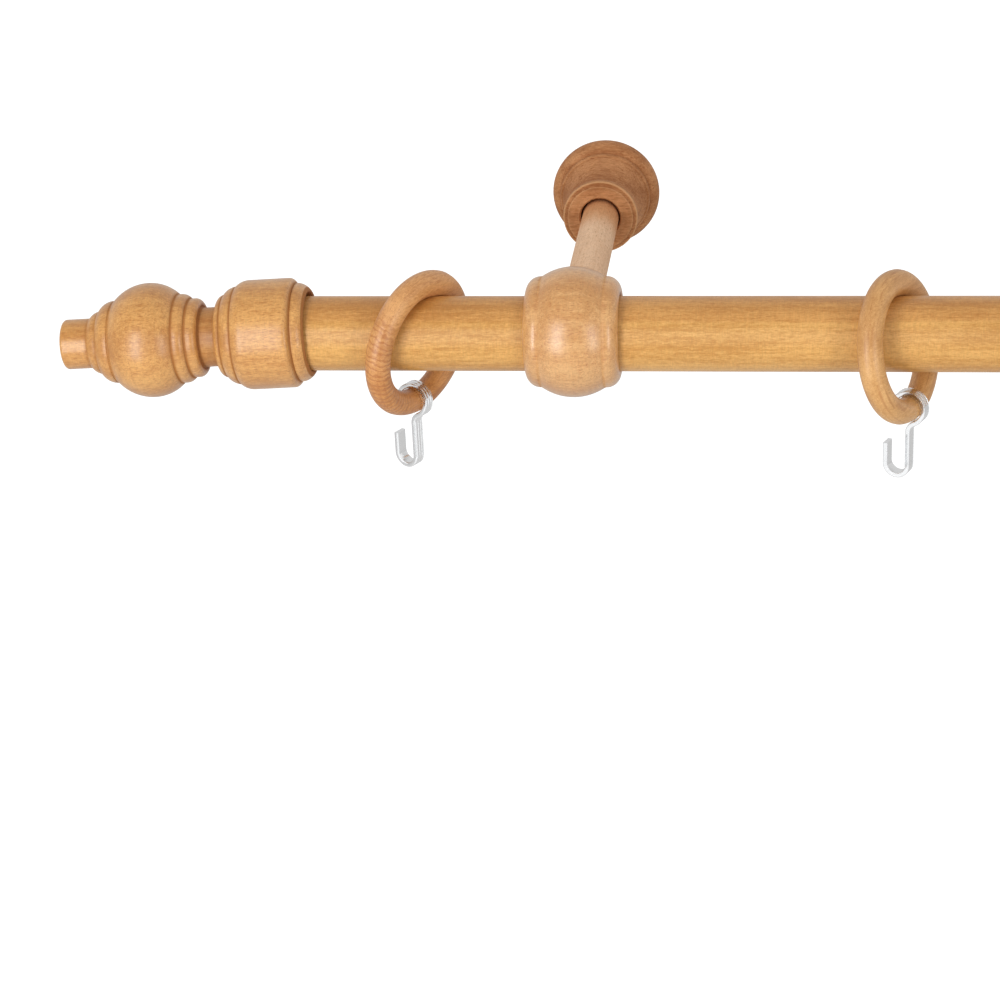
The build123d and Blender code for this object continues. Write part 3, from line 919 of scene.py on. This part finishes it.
def threadedMesh(name, size, length):
    around, pointR = thread["around"], thread["pointR"]
    steps = int(length / size["pitch"] * thread["perPitch"])
    slope = (size["headD"] - size["shankD"]) / 2
    vertices, faces = [(0, 0, 0)], []
    for i in range(steps + 1):
        x = length * i / steps
        for k in range(around):
            share = k / around
            r = size["shankD"] / 2
            if x < slope:
                r = size["headD"] / 2 - x
            elif x > size["plain"]:
                wave = abs(2 * ((x / size["pitch"] - share) % 1) - 1)  # crest at 1
                fade = min(1, (x - size["plain"]) / size["pitch"])
                crest = min(1, max(0, wave * thread["steep"] - thread["flat"]))
                r = size["d"] / 2 - size["depth"] * (1 - fade * crest)
            left = length - x
            if left < size["tip"]:
                r = pointR + (r - pointR) * left / size["tip"]
            angle = 2 * math.pi * share
            vertices.append((x * mm, r * mm * math.cos(angle), r * mm * math.sin(angle)))
    vertices.append((length * mm, 0, 0))
    last = len(vertices) - 1
    for k in range(around):
        n = (k + 1) % around
        faces.append((0, 1 + n, 1 + k))
        faces.append((last, last - around + k, last - around + n))
        for i in range(steps):
            a, b = 1 + i * around, 1 + (i + 1) * around
            faces.append((a + k, a + n, b + n, b + k))
    return smoothMesh(name, vertices, faces)


def slotTool(across):
    x, y, z = screwDrive["depth"] * mm, across / 2 * mm, screwDrive["width"] / 2 * mm
    corners = [(sx * x, sy * y, sz * z) for sx in (-1, 1) for sy in (-1, 1) for sz in (-1, 1)]
    faces = [(0, 1, 3, 2), (4, 6, 7, 5), (0, 4, 5, 1), (2, 3, 7, 6), (0, 2, 6, 4), (1, 5, 7, 3)]
    mesh = bpy.data.meshes.new("slotTool")
    mesh.from_pydata(corners, [], faces)
    return mesh


def makeScrews():
    for kind, size in screwKinds.items():
        for name in sides:
            low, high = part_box(f"{kind}_{name}")
            axis = Vector(size["axis"])
            length = (high - low).dot(axis) / mm
            across = size["headD"] - 2 * screwDrive["margin"]
            slots = [(slotTool(across), Matrix.Rotation(turn, 4, "X")) for turn in (0, math.pi / 2)]
            mesh = cutBy(threadedMesh("blank", size, length), slots)
            mesh.name = f"{kind}Steel_{name}"
            head = (low + high) / 2 - axis * (length / 2 * mm)
            place = Matrix.Translation(head) @ toward(axis)
            addPiece(f"{kind}Threaded_{name}", mesh, place, "pole", [f"{kind}_{name}"],
                     screwFinish)


makeScrews()
print("screws cut")


# rings hang on the rod, hooks loop over the rings

ringPiece = dict(tubeD=9.4, around=224, section=44, seam=0.07, seamWidth=0.07, finishes=("warm", "tan"))
ringSeat = dict(left=0.08, near=0.5, fade=1.5, upward=0.5)  # gaps to the rod where a ring rides
hookPiece = dict(
    width=5.0, thick=1.8, gap=0.45, loopStart=200.0, loopSweep=265.0, neckRadius=4.0, shank=14.0,
    bendRadius=4.4, end=8.0, edge=0.45, rib=0.18, ribs=3, crease=50.0,
    loopSteps=90, neckSteps=24, shankSteps=11, bendSteps=48, endSteps=7, edgeSteps=4, ribSteps=24)
hinges = {joint["child"]: joint for joint in frame["joints"] if joint["type"] == "hinge"}
ringCount = len(hinges)


def seatOnRod(vertices, place):
    back = place.inverted()
    for i, spot in enumerate(vertices):
        world = place @ spot
        out = Vector((0, world.y - rodMiddle.y, world.z - rodMiddle.z))
        gap = out.length / mm - rodRadius
        if gap > ringSeat["fade"] or out.z < ringSeat["upward"] * out.length:
            continue
        share = max(0, (gap - ringSeat["near"]) / (ringSeat["fade"] - ringSeat["near"]))
        push = (gap - ringSeat["left"]) * (1 - share ** 2 * (3 - 2 * share))
        vertices[i] = back @ (world - out.normalized() * push * mm)


def ringMesh(name, radius, place):
    tubeR = ringPiece["tubeD"] / 2
    around, section = ringPiece["around"], ringPiece["section"]
    vertices, faces = [], []
    for i in range(around):
        turn = 2 * math.pi * i / around
        outward = Vector((math.cos(turn), math.sin(turn), 0))
        for k in range(section):
            lean = 2 * math.pi * k / section
            r = tubeR
            if math.cos(lean) > 0:  # seam on the outer edge
                r += ringPiece["seam"] * math.exp(-(math.sin(lean) / ringPiece["seamWidth"]) ** 2)
            spot = outward * (radius + r * math.cos(lean)) + Vector((0, 0, r * math.sin(lean)))
            vertices.append(spot * mm)
    seatOnRod(vertices, place)
    for i in range(around):
        j = (i + 1) % around
        for k in range(section):
            n = (k + 1) % section
            faces.append((i * section + k, j * section + k, j * section + n, i * section + n))
    return smoothMesh(name, vertices, faces)


def hookPath():
    size = hookPiece
    loopR = ringPiece["tubeD"] / 2 + size["gap"] + size["thick"] / 2
    points, headings = [], []

    def follow(centre, radius, start, sweep, steps):
        for i in range(steps):
            angle = math.radians(start + sweep * i / (steps - 1))
            points.append(centre + radius * Vector((math.cos(angle), math.sin(angle))))
            headings.append(angle + math.copysign(math.pi / 2, sweep))

    follow(Vector((0, 0)), loopR, size["loopStart"], -size["loopSweep"], size["loopSteps"])
    endAngle = size["loopStart"] - size["loopSweep"]
    outward = Vector((math.cos(math.radians(endAngle)), math.sin(math.radians(endAngle))))
    neckCentre = points[-1] + outward * size["neckRadius"]
    neckTurn = size["loopSweep"] - size["loopStart"]
    follow(neckCentre, size["neckRadius"], endAngle + 180, neckTurn, size["neckSteps"])
    foot = points[-1] - Vector((0, size["shank"]))
    for i in range(1, size["shankSteps"] + 1):
        points.append(foot + Vector((0, size["shank"] * (1 - i / size["shankSteps"]))))
        headings.append(-math.pi / 2)
    follow(foot - Vector((size["bendRadius"], 0)), size["bendRadius"], 0, -180, size["bendSteps"])
    top = points[-1]
    for i in range(1, size["endSteps"] + 1):
        points.append(Vector((top.x, top.y + size["end"] * i / size["endSteps"])))
        headings.append(math.pi / 2)
    return points, headings


def strapSection():
    size = hookPiece
    edge, ribSteps = size["edge"], size["ribSteps"]
    innerW, innerT = size["width"] / 2 - edge, size["thick"] / 2 - edge
    section = []
    for cornerX, cornerY, start in ((1, 1, 0), (-1, 1, 90), (-1, -1, 180), (1, -1, 270)):
        for i in range(size["edgeSteps"] + 1):
            angle = math.radians(start + 90 / size["edgeSteps"] * i)
            w, t = edge * math.cos(angle), edge * math.sin(angle)
            section.append((cornerX * innerW + w, cornerY * innerT + t))
        if start == 0:  # ribs on the outer face
            for i in range(1, ribSteps):
                wave = 0.5 - 0.5 * math.cos(2 * math.pi * size["ribs"] * i / ribSteps)
                w, t = innerW * (1 - 2 * i / ribSteps), size["thick"] / 2 - size["rib"] * (1 - wave)
                section.append((w, t))
    return section


def hookMesh(name):
    points, headings = hookPath()
    section = strapSection()
    vertices, faces = [], []
    for point, heading in zip(points, headings):
        out = Vector((-math.sin(heading), math.cos(heading)))
        for w, t in section:
            vertices.append(Vector((point.x + out.x * t, point.y + out.y * t, w)) * mm)
    count = len(section)
    for i in range(len(points) - 1):
        for k in range(count):
            n = (k + 1) % count
            faces.append((i * count + k, i * count + n, (i + 1) * count + n, (i + 1) * count + k))
    faces.append(tuple(reversed(range(count))))
    faces.append(tuple(range((len(points) - 1) * count, len(points) * count)))
    mesh = smoothMesh(name, vertices, faces)
    mesh.set_sharp_from_angle(angle=math.radians(hookPiece["crease"]))
    return mesh


def makeRings():
    finishes = ringPiece["finishes"]
    plumb = Vector((0, 0, 1))
    for number in range(1, ringCount + 1):
        hinge = hinges[f"hook_{number}"]
        level = Vector(hinge["axis"]).normalized()
        lowest = Vector(hinge["pos_m"])
        centre = middleOf(f"ring_{number}")
        up = (centre - lowest).normalized()
        square = up.cross(level).normalized()
        place = Matrix.Translation(centre) @ Matrix((level, up, square)).transposed().to_4x4()
        finish = ringFinish[finishes[(number - 1) % len(finishes)]]
        mesh = ringMesh(f"ringWoodwork_{number}", (centre - lowest).length / mm, place)
        addPiece(f"ringTurned_{number}", mesh, place, f"ring_{number}", [f"ring_{number}"],
                 finish)
        across = level.cross(plumb).normalized()
        place = Matrix.Translation(lowest) @ Matrix((across, plumb, -level)).transposed().to_4x4()
        mesh = hookMesh(f"hookStrap_{number}")
        addPiece(f"hookMoulded_{number}", mesh, place, f"hook_{number}",
                 [f"ring_hook_{number}"], hookFinish)


makeRings()
print("rings and hooks hung:", ringCount)


# pale floor and soft light

stage = dict(
    floorDrop=0.55, floorSize=9.0, floorGlow=0.80, floorWhite=0.5, floorRough=0.9, floorGloss=0.22,
    roomLight=0.60, backLight=1.3, backToward=(0, 0.6, 0.8), backSpan=(0.1, 0.9),
    roomGloss=0.62, dimGloss=0.2, dimToward=(0, -0.8, 0.6), dimSpan=(-0.3, 0.6))


def seenClear(tree, path):
    return sums(tree, "MAXIMUM", path["Is Camera Ray"], path["Is Transmission Ray"])


def makeFloor():
    half = stage["floorSize"] / 2
    level = cadLow.z - stage["floorDrop"]
    corners = [(x * half, y * half, level) for x, y in ((-1, -1), (1, -1), (1, 1), (-1, 1))]
    mesh = bpy.data.meshes.new("floor")
    mesh.from_pydata(corners, [], [(0, 1, 2, 3)])
    floor = bpy.data.objects.new("floor", mesh)
    scene.collection.objects.link(floor)
    white = stage["floorWhite"]
    material, tree, shader = newMaterial("paleFloor", **{
        "Base Color": (white, white, white, 1), "Roughness": stage["floorRough"], "Specular IOR Level": 0.0,
        "Emission Color": (1, 1, 1, 1)})
    path = addNode(tree, "ShaderNodeLightPath").outputs
    inGloss = times(tree, path["Is Glossy Ray"], stage["floorGloss"])
    seen = sums(tree, "MAXIMUM", seenClear(tree, path), inGloss)
    tree.links.new(times(tree, seen, stage["floorGlow"]), shader["Emission Strength"])
    clear = addNode(tree, "ShaderNodeBsdfTransparent").outputs[0]
    mix = addNode(tree, "ShaderNodeMixShader")
    tree.links.new(addNode(tree, "ShaderNodeNewGeometry").outputs["Backfacing"], mix.inputs[0])
    tree.links.new(tree.nodes["Principled BSDF"].outputs[0], mix.inputs[1])
    tree.links.new(clear, mix.inputs[2])
    tree.links.new(mix.outputs[0], tree.nodes["Material Output"].inputs["Surface"])
    mesh.materials.append(material)


def makeRoom():
    world = bpy.data.worlds.new("softRoom")
    world.use_nodes = True
    tree = world.node_tree
    room = tree.nodes["Background"]
    room.inputs["Color"].default_value = (1, 1, 1, 1)
    heading = addNode(tree, "ShaderNodeTexCoord").outputs["Generated"]
    dim = facing(tree, heading, stage["dimToward"])
    walls = ramp(tree, dim, *stage["dimSpan"], stage["roomGloss"], stage["dimGloss"])  # mirrored in varnish
    back = facing(tree, heading, stage["backToward"])
    back = ramp(tree, back, *stage["backSpan"], 1.0, stage["backLight"])
    path = addNode(tree, "ShaderNodeLightPath").outputs
    through = seenClear(tree, path)
    seen = sums(tree, "MAXIMUM", through, path["Is Glossy Ray"])
    lit = times(tree, back, stage["roomLight"])
    strength = blendValue(tree, seen, lit, sums(tree, "MAXIMUM", through, walls))
    tree.links.new(strength, room.inputs["Strength"])
    scene.world = world


softLights = {
    "keyLeft": dict(azimuth=-29, height=8, distance=1.15, width=0.46, tall=1.0, power=8.4),
    "fillRight": dict(azimuth=45, height=6, distance=1.3, width=0.26, tall=0.9, power=4.4),
}


def makeLights(target):
    for name, size in softLights.items():
        lamp = bpy.data.lights.new(name, "AREA")
        lamp.shape = "RECTANGLE"
        lamp.size = size["width"]
        lamp.size_y = size["tall"]
        lamp.energy = size["power"]
        a, e = math.radians(size["azimuth"]), math.radians(size["height"])
        away = Vector((math.sin(a) * math.cos(e), -math.cos(a) * math.cos(e), math.sin(e)))
        item = bpy.data.objects.new(name, lamp)
        scene.collection.objects.link(item)
        item.location = target + away * size["distance"]
        item.rotation_euler = (-away).to_track_quat("-Z", "Y").to_euler()


shot = dict(
    lens=97.21, sensor=36.0, place=(-0.38321, -1.08946, 0.3726), yaw=0.1330, pitch=0.4414, roll=0.0485)


def makeCamera():
    data = bpy.data.cameras.new("shot")
    data.lens = shot["lens"]
    data.sensor_width = shot["sensor"]
    camera = bpy.data.objects.new("shot", data)
    scene.collection.objects.link(camera)
    aim = Euler((math.pi / 2 - shot["pitch"], 0, shot["yaw"])).to_matrix().to_4x4()
    camera.matrix_world = Matrix.Translation(shot["place"]) @ aim @ Matrix.Rotation(-shot["roll"], 4, "Z")
    scene.camera = camera


makeFloor()
makeRoom()
makeLights(Vector((middleOf("rod_holder_left").x, rodMiddle.y, rodMiddle.z)))
makeCamera()
print("stage set")
